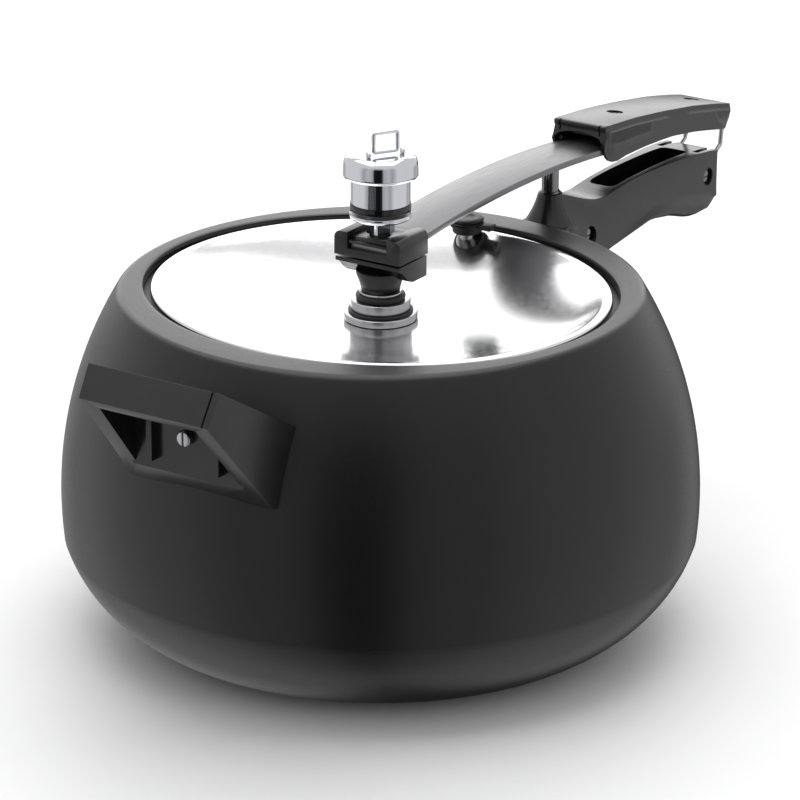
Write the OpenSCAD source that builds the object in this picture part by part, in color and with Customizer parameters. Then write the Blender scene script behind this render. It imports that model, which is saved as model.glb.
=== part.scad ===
// Stovetop pressure cooker with an inner-fitting oval lid.
// Origin at the centre of the base, +Z up, long handles along +X, helper handle along -X.

/* [Pot] */
// Largest outer radius of the pot
belly_r = 125; // [122:0.5:126]
// Height of the largest radius above the base
belly_z = 54; // [52:0.5:55]
// Radius of the barrel's side curve, seen from the side
barrel_curve = 158; // [156:0.5:160]
// Height of the rim above the base
rim_z = 137; // [136:0.5:138]
// Wall thickness
wall = 4; // [3.5:0.25:4.5]
// Radius of the flat base
base_r = 85; // [82:0.5:86]
// Height of the crease between the base curve and the barrel
crease_z = 38; // [36:0.5:40]
// Radius of the base curve, seen from the side
base_curve = 57.4; // [56:0.2:60]
// Half of the oval mouth, along the handles
mouth_a = 86.5; // [85:0.5:88]
// Half of the oval mouth, across the handles
mouth_b = 94.3; // [93:0.1:95]

/* [Lid] */
// Gap between the lid's neck and the mouth
lid_gap = 2.7; // [2.2:0.1:3.2]
// Thickness of the lid sheet
lid_t = 2; // [1.5:0.1:2.2]
// Height of the lid's hollow centre
lid_floor_z = 124; // [123:0.5:125]

/* [Handles] */
// Half width of the lid handle
lid_grip_w = 12.8; // [12.6:0.1:13]
// Half width of the body handle
body_grip_w = 12.6; // [12.4:0.1:13]
// Place of the post that the lever rests on
post_x = 125; // [124:0.5:126]
// Radius of the post
post_r = 3.5; // [3:0.1:3.8]
// Half width of the lever
lever_w = 11.3; // [10.8:0.1:11.4]
// Thickness of the lever
lever_t = 2.6; // [2.2:0.1:2.8]
// Radius of the locking loop's wire
loop_wire = 1; // [0.8:0.1:1.1]

/* [Weight] */
// Radius of the weight's cap
cap_r = 14.5; // [14:0.1:15]
// Radius of the weight's body
weight_r = 11.5; // [11:0.1:11.7]
// Turn of the weight's finger loop from the handles
weight_turn = -32; // [-90:1:90]

/* [Hidden] */

anodised = "#2b2b2d";
phenolic = "#161617";
steel = "#c4c6c9";
satin_steel = "#8b8c8e";
rubber = "#1d1d1e";
alloy = "#a9abad";

fine = 180;

// ---- outlines
function arc(cx, cz, r, a0, a1, n) =
    [for (i = [0:n]) let (a = a0 + (a1 - a0) * i / n) [cx + r * cos(a), cz + r * sin(a)]];
function oval(a, b, n = 48) = [for (i = [0:n - 1]) [a * cos(360 * i / n), b * sin(360 * i / n)]];
function barrel_x(z, out = 0) = barrel_cx + sqrt(pow(barrel_curve + out, 2) - pow(z - belly_z, 2));

barrel_cx = belly_r - barrel_curve;
crease_r = barrel_x(crease_z);
// centre of the base curve: on the middle line between the base edge and the crease
base_mid = [(base_r + crease_r) / 2, crease_z / 2];
base_half = norm([crease_r - base_r, crease_z]) / 2;
base_lift = sqrt(pow(base_curve, 2) - pow(base_half, 2)) / (2 * base_half);
base_c = base_mid + base_lift * [-crease_z, crease_r - base_r];
shelf_z = rim_z - wall;
shelf_x = barrel_x(shelf_z, -wall);
rim_angle = atan2(shelf_z - belly_z, shelf_x - barrel_cx);
inner_crease_z = crease_z + 1;

// closed half section of the pot, with the roof that the oval mouth is cut from
shell_profile = concat(
    [[0, 0]],
    arc(base_c[0], base_c[1], base_curve,
        atan2(-base_c[1], base_r - base_c[0]), atan2(crease_z - base_c[1], crease_r - base_c[0]), 9),
    arc(barrel_cx, belly_z, barrel_curve, asin((crease_z - belly_z) / barrel_curve) + 0.2, rim_angle, 14),
    arc(shelf_x, shelf_z, wall, rim_angle, 90, 4),
    [[78, rim_z], [78, shelf_z], [shelf_x, shelf_z]],
    arc(barrel_cx, belly_z, barrel_curve - wall, rim_angle - 0.4,
        asin((inner_crease_z - belly_z) / (barrel_curve - wall)), 10),
    arc(base_c[0], base_c[1], base_curve - wall,
        asin((crease_z - base_c[1]) / (base_curve - wall)),
        -acos(14.8 / (base_curve - wall)), 7),
    [[0, wall]]);

// the pot's outside above the crease, grown by gap, used to fit parts to its wall
module barrel_solid(gap) {
    rotate_extrude($fn = fine) polygon(concat(
        [[0, 88]],
        arc(barrel_cx, belly_z, barrel_curve + gap, asin((88 - belly_z) / (barrel_curve + gap)), rim_angle, 7),
        [[0, shelf_z]]));
}
module along_y(half, outline) { // side outline in x and z, spread to both sides of y = 0
    rotate([90, 0, 0]) translate([0, 0, -half]) linear_extrude(2 * half) polygon(outline);
}
module rod_y(x, z, r, y0, y1) { translate([x, y0, z]) rotate([-90, 0, 0]) cylinder(r = r, h = y1 - y0, $fn = 48); }
module rod_x(x0, x1, y, z, r) { translate([x0, y, z]) rotate([0, 90, 0]) cylinder(r = r, h = x1 - x0, $fn = 48); }
module rod_z(x, y, z0, z1, r) { translate([x, y, z0]) cylinder(r = r, h = z1 - z0, $fn = 64); }
module block(x0, x1, half, z0, z1) { translate([x0, -half, z0]) cube([x1 - x0, 2 * half, z1 - z0]); }
// ---- pot
disc_r = 76;
disc_t = 1.2;
rivet_r = 2.2;
rivet_head_r = 4.4;
// y and z of the four rivets of the long bracket, and of the two of the helper bracket
rivet_spots = [[-8, 109], [8, 109], [-8, 122], [8, 122]];
helper_rivet_spots = [[-10, 112], [10, 112]];

module rivet_shanks() { for (s = rivet_spots) rod_x(barrel_x(s[1]) - 7, barrel_x(s[1]) + 4, s[0], s[1], rivet_r); }
module helper_shanks() {
    for (s = helper_rivet_spots) mirror([1, 0, 0]) rod_x(barrel_x(s[1]) - 7, barrel_x(s[1]) + 4, s[0], s[1], rivet_r);
}
module pot_shell() color(anodised) difference() {
    rotate_extrude($fn = fine) polygon(shell_profile);
    translate([0, 0, shelf_z - 1]) linear_extrude(wall + 2) polygon(oval(mouth_a, mouth_b));
    rod_z(0, 0, -1, disc_t, disc_r);
    rivet_shanks();
    helper_shanks();
}
module base_disc() color(satin_steel) rod_z(0, 0, 0, disc_t, disc_r);

// ---- long bracket, post and body handle
bracket_half = 6;
bracket_z = [113.5, 127];
bracket_end = 146;
plate_t = 2.5;
front_screw_x = 138.6;
cross_z = 121.2;
screw_r = 2;
post_top = 157.3;

module bracket_plate(gap) intersection() {
    barrel_solid(plate_t + gap);
    block(90, 130, 12 + gap, 104 - gap, 127 + gap);
}
module wall_bracket() color(steel) difference() {
    union() {
        bracket_plate(0);
        block(108, bracket_end, bracket_half, bracket_z[0], bracket_z[1]);
    }
    barrel_solid(0);
    rivet_shanks();
    rod_z(post_x, 0, bracket_z[0] - 1, bracket_z[1] + 1, post_r);
    rod_y(front_screw_x, cross_z, screw_r, -20, 20);
}
module bracket_rivets() color(steel) {
    rivet_shanks();
    for (s = rivet_spots) {
        rod_x(barrel_x(s[1]) - 7, barrel_x(s[1]) - 4.6, s[0], s[1], rivet_head_r);
        rod_x(barrel_x(s[1]) + plate_t - 0.3, barrel_x(s[1]) + plate_t + 1.3, s[0], s[1], 3.4);
    }
}
module fulcrum_post() color(steel) {
    rod_z(post_x, 0, bracket_z[0], post_top, post_r);
    rod_z(post_x, 0, 141.2, 142.4, 4.2);
}

loop_x = 234.5;
trough_half = 10;
// side view of the body handle, from the pot wall round the finger side and back
body_side = [[100, 103], [119, 103], [151, 111.5], [166, 115.4], [179, 117.6], [192, 116.4], [205, 112.6],
             [214, 108.6], [222, 107], [231, 107.8], [240, 111.5], [242.6, 128], [241, 131.6], [222, 133.8],
             [203, 134.4], [177, 134.2], [153, 133.8], [140, 136.2], [134, 139.4], [116, 139.4], [100, 134]];
// the fuller finger rest under the crease, and the toe that lies on the pot's shoulder
belly_w = 14.6;
belly_side = [[180, 117.55], [185, 119.2], [197.6, 119.8], [210.3, 118.6], [223.3, 115.3], [238, 111.2],
              [231, 107.8], [222, 107], [214, 108.6], [205, 112.6], [192, 116.4]];
toe_w = 14.4;
// side view of the open trough in its top
trough_side = [[180, 124], [187, 121], [226, 121], [229, 126], [229, 140], [172, 140], [172, 132]];
module body_handle() color(phenolic) difference() {
    union() {
        intersection() {
            along_y(body_grip_w, body_side);
            union() {
                block(128, 260, body_grip_w, 90, 140);
                rod_z(post_x, 0, 90, 130, body_grip_w);
                block(100, 128, body_grip_w, 90, 129);
            }
        }
        translate([post_x, 0, 128]) cylinder(r1 = 10.6, r2 = 4.6, h = 13.2, $fn = 64);
        along_y(belly_w, belly_side);
        block(98, 116.5, toe_w, 124, 130.6);
    }
    barrel_solid(0.1);
    bracket_plate(0.1);
    for (s = rivet_spots) rod_x(110, barrel_x(s[1]) + plate_t + 1.5, s[0], s[1], 3.6);
    block(100, bracket_end + 0.2, bracket_half + 0.1, bracket_z[0] - 0.1, bracket_z[1] + 0.1);
    rod_z(post_x, 0, 110, 150, post_r + 0.05);
    along_y(trough_half - 1.5, trough_side);
    // slots for the legs of the locking loop, open to the rear
    for (s = [-1, 1]) translate([228, s * 8.7 - 1.4, 100]) cube([30, 2.8, 40]);
    rod_y(front_screw_x, cross_z, screw_r, -20, 20);
    rod_y(loop_x, cross_z, screw_r, -20, 20);
    for (x = [front_screw_x, loop_x]) for (s = [-1, 1])
        rod_y(x, cross_z, 3.9, s > 0 ? body_grip_w - 1.8 : -20, s > 0 ? 20 : -body_grip_w + 1.8);
}
module cross_screw(x) {
    rod_y(x, cross_z, screw_r, -body_grip_w + 1.8, body_grip_w - 0.6);
    difference() {
        rod_y(x, cross_z, 3.6, -body_grip_w + 0.4, -body_grip_w + 1.8);
        translate([x - 2.6, -body_grip_w, cross_z - 0.4]) cube([5.2, 0.9, 0.8]);
    }
}
module front_screw() color(steel) cross_screw(front_screw_x);
module loop_pin() color(steel) cross_screw(loop_x);
module handle_nuts() color(steel) for (x = [front_screw_x, loop_x]) difference() {
    translate([x, body_grip_w - 1.8, cross_z]) rotate([-90, 0, 0]) cylinder(r = 3.6, h = 1.4, $fn = 6);
    rod_y(x, cross_z, screw_r, 0, 20);
}

// ---- locking loop: a wire bail on the loop pin
loop_leg_y = 8.7;
loop_bar = [255.3, 144.8];
loop_knee = [251.8, 130.2];
loop_neck = [247, 127.4];
// side view of a leg, which is twice loop_wire wide
leg_path = [[loop_bar[0], loop_bar[1]], [loop_knee[0], loop_knee[1]], [loop_neck[0], loop_neck[1]],
            [loop_x + 2.7, cross_z + 1.6]];
leg_side = concat([for (p = leg_path) p + [loop_wire, -0.4 * loop_wire]],
                  [for (i = [len(leg_path) - 1:-1:0]) leg_path[i] - [loop_wire, -0.4 * loop_wire]]);
module locking_loop() color(steel) {
    for (s = [-1, 1]) difference() {
        union() {
            translate([0, s * loop_leg_y, 0]) along_y(loop_wire, leg_side);
            rod_y(loop_x, cross_z, 3.7, s * loop_leg_y - loop_wire, s * loop_leg_y + loop_wire);
        }
        rod_y(loop_x, cross_z, screw_r + 0.05, -12, 12);
    }
    rod_y(loop_bar[0], loop_bar[1], loop_wire, -loop_leg_y - loop_wire, loop_leg_y + loop_wire);
}

// ---- helper handle
helper_side = [[-100, 116], [-147.4, 144.4], [-154.7, 133.2], [-119, 91], [-100, 91]];
helper_plan = [[-156, 28.4], [-96, 34.2], [-96, -34.2], [-156, -28.4]];
pocket_side = [[-104, 110.6], [-143.5, 136.2], [-151.8, 129.9], [-160, 120], [-128, 99.5], [-104, 104]];
pocket_plan = [[-165, 20], [-128, 23.5], [-100, 26.5], [-100, -26.5], [-128, -23.5], [-165, -20]];
helper_z = 115.5;
web_x = [-127.6, -124];
module helper_handle() color(phenolic) difference() {
    union() {
        difference() {
            intersection() {
                along_y(40, helper_side);
                translate([0, 0, 80]) linear_extrude(80) polygon(helper_plan);
            }
            intersection() {
                along_y(40, pocket_side);
                translate([0, 0, 80]) linear_extrude(80) polygon(pocket_plan);
            }
        }
        block(web_x[0], web_x[1], 25, 100, 124);
        for (s = [-1, 1]) translate([-131, s * 15 - 1.2, 106]) cube([5, 2.4, 20]);
    }
    barrel_solid(0.1);
    rod_x(-140, -100, 0, helper_z, 2);
    block(web_x[1], -100, 14.2, 104.8, 123.2);
}
module helper_bracket() color(steel) difference() {
    union() {
        block(web_x[1], -108, 6, helper_z - 6, helper_z + 6);
        intersection() { barrel_solid(plate_t); block(-130, -90, 14, 105, 119); }
    }
    barrel_solid(0);
    helper_shanks();
    rod_x(-140, -100, 0, helper_z, 2);
}
module helper_rivets() color(steel) {
    helper_shanks();
    for (s = helper_rivet_spots) mirror([1, 0, 0]) {
        rod_x(barrel_x(s[1]) - 7, barrel_x(s[1]) - 4.6, s[0], s[1], rivet_head_r);
        rod_x(barrel_x(s[1]) + plate_t - 0.4, barrel_x(s[1]) + plate_t + 1.3, s[0], s[1], 3.4);
    }
}
module helper_screw() color(steel) difference() {
    union() {
        rod_x(web_x[0] - 3, web_x[0], 0, helper_z, 4);
        rod_x(web_x[0], -115.5, 0, helper_z, 2);
    }
    block(web_x[0] - 4, web_x[0] - 1.8, 0.5, helper_z - 3, helper_z + 3);
}

// ---- lid
neck_a = mouth_a - lid_gap;
neck_b = mouth_b - lid_gap;
dish_curve = 381;
flange_z = 125.7;
flange_t = 2;
gasket_z = flange_z + flange_t;
lid_edge_z = 136.2;
tube_r = 3.2;
valve_at = [76.2, 9];
module oval_ring(z0, z1, out, inn) {
    translate([0, 0, z0]) linear_extrude(z1 - z0) difference() {
        polygon(oval(neck_a + out, neck_b + out));
        polygon(oval(neck_a + inn, neck_b + inn));
    }
}
module lid_plate() color(steel) difference() {
    union() {
        oval_ring(flange_z, lid_edge_z, 0, -lid_t);
        oval_ring(flange_z, gasket_z, 7.2, -lid_t);
        oval_ring(lid_edge_z - lid_t, lid_edge_z, 0, -4);
        intersection() {
            rotate_extrude($fn = fine) polygon(concat(
                [[0, lid_floor_z - lid_t], [0, lid_floor_z]],
                arc(0, lid_floor_z + dish_curve, dish_curve, -90, -76, 8),
                arc(0, lid_floor_z + dish_curve, dish_curve + lid_t, -76, -90, 8)));
            translate([0, 0, 110]) linear_extrude(40) polygon(oval(neck_a - 0.5, neck_b - 0.5));
        }
    }
    rod_z(0, 0, 110, 150, tube_r);
    rod_z(valve_at[0], valve_at[1], 110, 150, valve_r);
}
module lid_gasket() color(rubber) oval_ring(gasket_z, shelf_z - 0.3, 6, 0.05);

// ---- hub on the lid's centre, from the lid upwards
boss_z = [lid_floor_z, 127.2];
seal_z = 128.2;
spacer_z = 132.3;
hub_gasket_z = 134.5;
washer_z = 135.6;
yoke_z = 149.3;
// ridge that the clamp rocks on when the lever is lifted
rocker_z = 149.8;
rocker_r = 0.9;
module hub_ring(z0, z1, r) difference() {
    rod_z(0, 0, z0, z1, r);
    rod_z(0, 0, z0 - 1, z1 + 1, tube_r);
}
module hub_boss() color(steel) difference() {
    hub_ring(boss_z[0], boss_z[1], 14.4);
    // the lid's hollow rises a little under the boss
    translate([0, 0, lid_floor_z - 1]) cylinder(r = 16, h = 1.35, $fn = 64);
}
module hub_seal() color(rubber) hub_ring(boss_z[1], seal_z, 12.6);
module hub_spacer() color(steel) hub_ring(seal_z, spacer_z, 11.7);
module hub_gasket() color(rubber) hub_ring(spacer_z, hub_gasket_z, 9.6);
module hub_washer() color(steel) hub_ring(hub_gasket_z, washer_z, 8.4);
module yoke_base() color(phenolic) difference() {
    union() {
        translate([0, 0, washer_z]) cylinder(r1 = 7.4, r2 = 10, h = 6.4, $fn = 64);
        along_y(15, [[-9.4, yoke_z], [-9.4, yoke_z - 1.2], [-2, 141.2], [10, 141.2], [10, yoke_z]]);
        rod_y(0, rocker_z, rocker_r, -13, 13);
    }
    rod_z(0, 0, 120, 160, tube_r);
}
module vent_tube() color(alloy) difference() {
    union() {
        rod_z(0, 0, 117.5, 172, tube_r);
        translate([0, 0, 172]) cylinder(r1 = tube_r, r2 = 2.2, h = 4, $fn = 64);
    }
    rod_z(0, 0, 110, 180, 1.1);
}
module tube_nut() color(steel) difference() {
    rotate([0, 0, 15]) translate([0, 0, 158.9]) cylinder(r = 5.5, h = 4.9, $fn = 6);
    rod_z(0, 0, 150, 170, tube_r);
}
module under_nut() color(steel) difference() {
    translate([0, 0, 118]) cylinder(r = 7, h = 3, $fn = 6);
    rod_z(0, 0, 110, 130, tube_r);
}
module tube_flange() color(alloy) hub_ring(121, lid_floor_z - lid_t, 9);

// ---- safety valve
valve_z = 138.6;
valve_r = 3;
module valve_stem() color(steel) difference() {
    union() {
        rod_z(valve_at[0], valve_at[1], 124.4, valve_z + 1.2, valve_r);
        rod_z(valve_at[0], valve_at[1], 136.4, valve_z, 5);
    }
    rod_z(valve_at[0], valve_at[1], 120, 136, 1.4);
}
module valve_cap() color(rubber) difference() {
    union() {
        rod_z(valve_at[0], valve_at[1], valve_z, valve_z + 2, 6.8);
        rod_z(valve_at[0], valve_at[1], valve_z + 2, valve_z + 2.6, 5.6);
        rod_z(valve_at[0], valve_at[1], valve_z + 2.6, valve_z + 4.2, 6.8);
        translate([valve_at[0] - 2, valve_at[1] - 12, valve_z]) cube([5, 8, 2.3]);
    }
    rod_z(valve_at[0], valve_at[1], 130, valve_z + 1.2, valve_r);
}
module valve_nut() color(steel) difference() {
    translate([valve_at[0], valve_at[1], 124.9]) cylinder(r = 4.6, h = 2.8, $fn = 6);
    rod_z(valve_at[0], valve_at[1], 120, 140, valve_r);
}
module fusible_plug() color(alloy) rod_z(valve_at[0], valve_at[1], 126, 132, 1.4);

// ---- lever: tongue under the clamp, arched bar over the post, tail inside the handle
arch_r = 650;
arch_top = [80, 160.6];
arch_from = 12;
arch_to = 151;
crown = 1.5;
tongue_z = [153.2, 155.4];
crown_r = (lever_w * lever_w + crown * crown) / (2 * crown);
crown_a = asin(lever_w / crown_r);
screw_at = [176, 240];
// top line of the lid handle, and how far below it the lever's tail lies
grip_top = [[149.6, 165.2], [171, 163.4], [195, 160.3], [221, 156.2], [240, 152.4], [252.4, 149.4]];
tail_drop = 7;
module lever_arch() {
    from_a = 90 - asin((arch_to - arch_top[0]) / arch_r);
    to_a = 90 + asin((arch_top[0] - arch_from) / arch_r);
    translate([arch_top[0], 0, arch_top[1] - arch_r]) rotate([90, 0, 0]) rotate([0, 0, from_a])
        rotate_extrude(angle = to_a - from_a, $fn = 360) polygon(concat(
            arc(arch_r + crown - crown_r, 0, crown_r, -crown_a, crown_a, 5),
            arc(arch_r + crown - crown_r, 0, crown_r - lever_t, crown_a, -crown_a, 5)));
}
module lever_bar() color(satin_steel) difference() {
    union() {
        lever_arch();
        block(-8, 15, 8.7, tongue_z[0], tongue_z[1]);
        block(11.8, 15, 8.7, tongue_z[0], 157);
        along_y(9, concat(
            [for (p = grip_top) [p[0] < 150 ? 147 : min(p[0], 248), p[1] - tail_drop]],
            [for (i = [5:-1:0]) [grip_top[i][0] < 150 ? 147 : min(grip_top[i][0], 248),
                                 grip_top[i][1] - tail_drop - 2.4]]));
    }
    rod_z(0, 0, 140, 170, 4.2);
    for (x = screw_at) rod_z(x, 0, 130, 170, 1.8);
}
module yoke_clamp() color(phenolic) difference() {
    along_x_clamp();
    rod_y(0, rocker_z, rocker_r + 0.05, -13.5, 13.5);
    rod_z(0, 0, 140, 170, 4.2);
}
module along_x_clamp() { // U section across the lever, with rounded horns
    horn = 2.4;
    translate([-9.7, 0, 0]) rotate([90, 0, 90]) linear_extrude(20) polygon(concat(
        [[-15, yoke_z + 0.9], [15, yoke_z + 0.9]],
        arc(15 - horn, 159.8 - horn, horn, 0, 90, 6),
        [[9, 159.8], [9, tongue_z[0]], [-9, tongue_z[0]], [-9, 159.8]],
        arc(-15 + horn, 159.8 - horn, horn, 90, 180, 6)));
}
module yoke_plate() color(phenolic) difference() {
    block(-9.2, 9.8, 8.8, tongue_z[1], 158);
    rod_z(0, 0, 140, 170, 4.2);
}

// ---- lid handle
grip_bottom = [[247, 139], [234, 142], [222, 144.4], [202, 147.4], [181, 148.6], [165, 148.8], [157, 148.2],
               [152, 149], [148.4, 152.5], [146.4, 158]];
module lid_handle() color(phenolic) difference() {
    along_y(lid_grip_w, concat(grip_top, [[253, 147], [252.2, 145], [253, 143.2], [248.6, 139]], grip_bottom));
    // channel for the lever's tail, open underneath
    along_y(10.2, concat(
        [for (p = grip_top) [p[0] < 150 ? 152 : min(p[0], 249), p[1] - tail_drop + 0.05]],
        [[249, 120], [152, 120]]));
    // mouth round the arched bar
    along_y(11.5, [[140, 159.4], [153, 158.4], [153, 120], [140, 120]]);
    for (x = screw_at) {
        rod_z(x, 0, 130, 170, 1.8);
        rod_z(x, 0, x < 200 ? 160.4 : 150, 170, 3.5);
    }
}
module lid_handle_screws() color(steel) for (x = screw_at) difference() {
    seat = x < 200 ? 160.4 : 150;
    union() {
        rod_z(x, 0, seat, seat + 1.3, 3.3);
        rod_z(x, 0, seat - 8.6, seat, 1.8);
    }
    translate([x - 2.4, -0.4, seat + 0.6]) cube([4.8, 0.8, 1]);
}

// ---- weight, from its ring up to its finger loop
ring_z = [164.9, 167.1];
band_z = 171.1;
skirt_z = 181.9;
cap_z = 191;
module turned(profile) { rotate_extrude($fn = 96) polygon(profile); }
module weight_ring() color(steel) turned([[7, ring_z[0]], [10.8, ring_z[0]], [11.7, 165.8], [12.1, 166.4],
                                          [12.1, ring_z[1]], [7, ring_z[1]]]);
module weight_band() color(rubber) turned([[7, ring_z[1]], [11.8, ring_z[1]], [11.8, band_z], [7, band_z]]);
module weight_body() color(steel) turned([[7, band_z], [weight_r, band_z], [weight_r, 186], [7, 186]]);
// finger loop: a closed wire frame standing in two small feet, towards one side of the cap
bail_z = 191.9;
bail_wire = 0.8;
bail_half = 5.6;
bail_top = 199.8;
bail_side = -4.5;
bail_corner = 1.3;
foot_w = 1.3;
head_z = 188;
module in_loop_frame() rotate([0, 0, weight_turn]) translate([0, bail_side, 0]) children();
module weight_cap() color(steel) difference() {
    union() {
        turned(concat(
            [[12.6, skirt_z], [cap_r, skirt_z], [cap_r - 0.2, 187.6]],
            arc(cap_r - 3.4, 187.4, 3.2, 0, 70, 8),
            [[9, 190.8], [0, cap_z], [0, 186], [12.6, 186]]));
        in_loop_frame() for (s = [-1, 1])
            translate([s * (bail_half + bail_wire + 0.1 + foot_w / 2) - foot_w / 2, -1.3, 190])
                cube([foot_w, 2.6, 3.1]);
    }
    rod_z(0, 0, 180, head_z, 2);
    in_loop_frame() rod_x(-10, 10, 0, bail_z, bail_wire + 0.05);
}
module weight_core() color(steel) difference() { // valve pin with its head and the guide bore below
    union() {
        rod_z(0, 0, ring_z[0] + 0.3, 186, 7);
        rod_z(0, 0, 186, head_z, 2);
    }
    rod_z(0, 0, 160, 177, tube_r + 0.1);
}
module bail_outline(out, low) polygon([
    [-bail_half - out, low], [bail_half + out, low], [bail_half + out, bail_top - bail_corner],
    [bail_half - bail_corner + out, bail_top + out], [-bail_half + bail_corner - out, bail_top + out],
    [-bail_half - out, bail_top - bail_corner]]);
module weight_loop() color(steel) in_loop_frame() {
    rod_x(-bail_half - bail_wire - foot_w, bail_half + bail_wire + foot_w, 0, bail_z, bail_wire);
    rotate([90, 0, 0]) translate([0, 0, -bail_wire]) linear_extrude(2 * bail_wire) difference() {
        bail_outline(bail_wire, bail_z);
        bail_outline(-bail_wire, bail_z - 1);
    }
}

pot_shell();
base_disc();
wall_bracket();
bracket_rivets();
fulcrum_post();
body_handle();
front_screw();
loop_pin();
handle_nuts();
helper_handle();
helper_bracket();
helper_rivets();
helper_screw();
locking_loop();
lid_plate();
lid_gasket();
hub_boss();
hub_seal();
hub_spacer();
hub_gasket();
hub_washer();
yoke_base();
vent_tube();
tube_nut();
under_nut();
tube_flange();
valve_stem();
valve_cap();
valve_nut();
fusible_plug();
lever_bar();
yoke_clamp();
yoke_plate();
lid_handle();
lid_handle_screws();
weight_body();
weight_band();
weight_ring();
weight_cap();
weight_core();
weight_loop();
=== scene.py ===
import math
import bmesh
import bpy
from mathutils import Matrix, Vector


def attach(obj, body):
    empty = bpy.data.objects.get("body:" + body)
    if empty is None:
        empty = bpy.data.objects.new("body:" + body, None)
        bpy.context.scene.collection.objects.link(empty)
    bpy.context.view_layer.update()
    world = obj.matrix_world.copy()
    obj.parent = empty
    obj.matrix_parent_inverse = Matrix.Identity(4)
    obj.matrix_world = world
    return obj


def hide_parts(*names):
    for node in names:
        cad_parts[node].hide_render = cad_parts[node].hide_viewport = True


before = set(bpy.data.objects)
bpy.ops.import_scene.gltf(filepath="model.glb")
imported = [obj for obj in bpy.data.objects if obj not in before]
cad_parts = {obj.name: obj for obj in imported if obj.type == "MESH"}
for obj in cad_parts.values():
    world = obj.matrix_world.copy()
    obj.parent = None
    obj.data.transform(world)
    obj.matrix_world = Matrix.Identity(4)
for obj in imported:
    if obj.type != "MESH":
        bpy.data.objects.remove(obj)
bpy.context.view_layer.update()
mm = 0.001
weldGap = 0.0005 * mm      # points closer than this are one
tubeBore = 3.2             # radius of the holes that the vent tube fills in the lid and hub


# ---- hand tools: everything below is measured in millimetres and built in metres

def deselectAll():
    if bpy.context.mode != "OBJECT":
        bpy.ops.object.mode_set(mode="OBJECT")
    bpy.ops.object.select_all(action="DESELECT")


def pick(obj):
    deselectAll()
    obj.select_set(True)
    bpy.context.view_layer.objects.active = obj


def edit(obj, kind="VERT", selected=False):
    pick(obj)
    bpy.ops.object.mode_set(mode="EDIT")
    bpy.ops.mesh.select_mode(type=kind)
    bpy.ops.mesh.select_all(action="SELECT" if selected else "DESELECT")


def done():
    bpy.ops.object.mode_set(mode="OBJECT")


def chooseVerts(obj, test):
    mesh = bmesh.from_edit_mesh(obj.data)
    for vert in mesh.verts:
        vert.select_set(test(vert.co / mm))
    mesh.select_flush(True)
    bmesh.update_edit_mesh(obj.data)


def chooseRing(obj, homes, ring):
    # selects the vertices whose first radius was ring
    mesh = bmesh.from_edit_mesh(obj.data)
    for vert in mesh.verts:
        vert.select_set(homes[vert.index] == ring)
    mesh.select_flush(True)
    bmesh.update_edit_mesh(obj.data)


def chooseFaces(obj, test):
    mesh = bmesh.from_edit_mesh(obj.data)
    for face in mesh.faces:
        face.select_set(test(face.calc_center_median() / mm, face.normal))
    bmesh.update_edit_mesh(obj.data)


def seal(obj):
    # welds the seams and turns every face outwards
    edit(obj, selected=True)
    bpy.ops.mesh.remove_doubles(threshold=weldGap)
    bpy.ops.mesh.select_all(action="SELECT")
    bpy.ops.mesh.normals_make_consistent(inside=False)
    done()


def applyAll(obj):
    pick(obj)
    for mod in list(obj.modifiers):
        bpy.ops.object.modifier_apply(modifier=mod.name)


def startPoint(name, point):
    # a small plane drawn together into one vertex, ready to be extruded from
    deselectAll()
    bpy.ops.mesh.primitive_plane_add(size=mm, location=[v * mm for v in point])
    obj = bpy.context.object
    obj.name = name
    obj.data.name = name
    bpy.ops.object.transform_apply(location=True, rotation=True, scale=True)
    edit(obj, selected=True)
    bpy.ops.mesh.merge(type="CENTER")
    return obj


def drawOn(points, closed):
    # extrudes the selected vertex from point to point
    route = list(points) + list(points[:1] if closed else [])
    for here, there in zip(route, route[1:]):
        step = [(b - a) * mm for a, b in zip(here, there)]
        bpy.ops.mesh.extrude_region_move(TRANSFORM_OT_translate={"value": step})


def turned(name, profile, steps=96, centre=(0, 0)):
    # profile is radius and height, spun round a vertical line
    cx, cy = centre
    points = [(cx + r, cy, z) for r, z in profile]
    obj = startPoint(name, points[0])
    drawOn(points, False)
    bpy.ops.mesh.select_all(action="SELECT")
    bpy.ops.mesh.spin(steps=steps, angle=math.tau, center=(cx * mm, cy * mm, 0), axis=(0, 0, 1))
    done()
    seal(obj)
    return obj


def plate(name, outline, move):
    # closed outline of 3-D points, filled and pushed out along move
    obj = startPoint(name, outline[0])
    drawOn(outline, True)
    bpy.ops.mesh.select_all(action="SELECT")
    bpy.ops.mesh.remove_doubles(threshold=weldGap)
    bpy.ops.mesh.select_all(action="SELECT")
    bpy.ops.mesh.edge_face_add()
    bpy.ops.mesh.extrude_region_move(TRANSFORM_OT_translate={"value": [v * mm for v in move]})
    done()
    seal(obj)
    return obj


def plank(name, side, half):
    # a side view given as x and z, half as wide to either side of the middle
    return plate(name, [(x, -half, z) for x, z in side], (0, 2 * half, 0))


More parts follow.
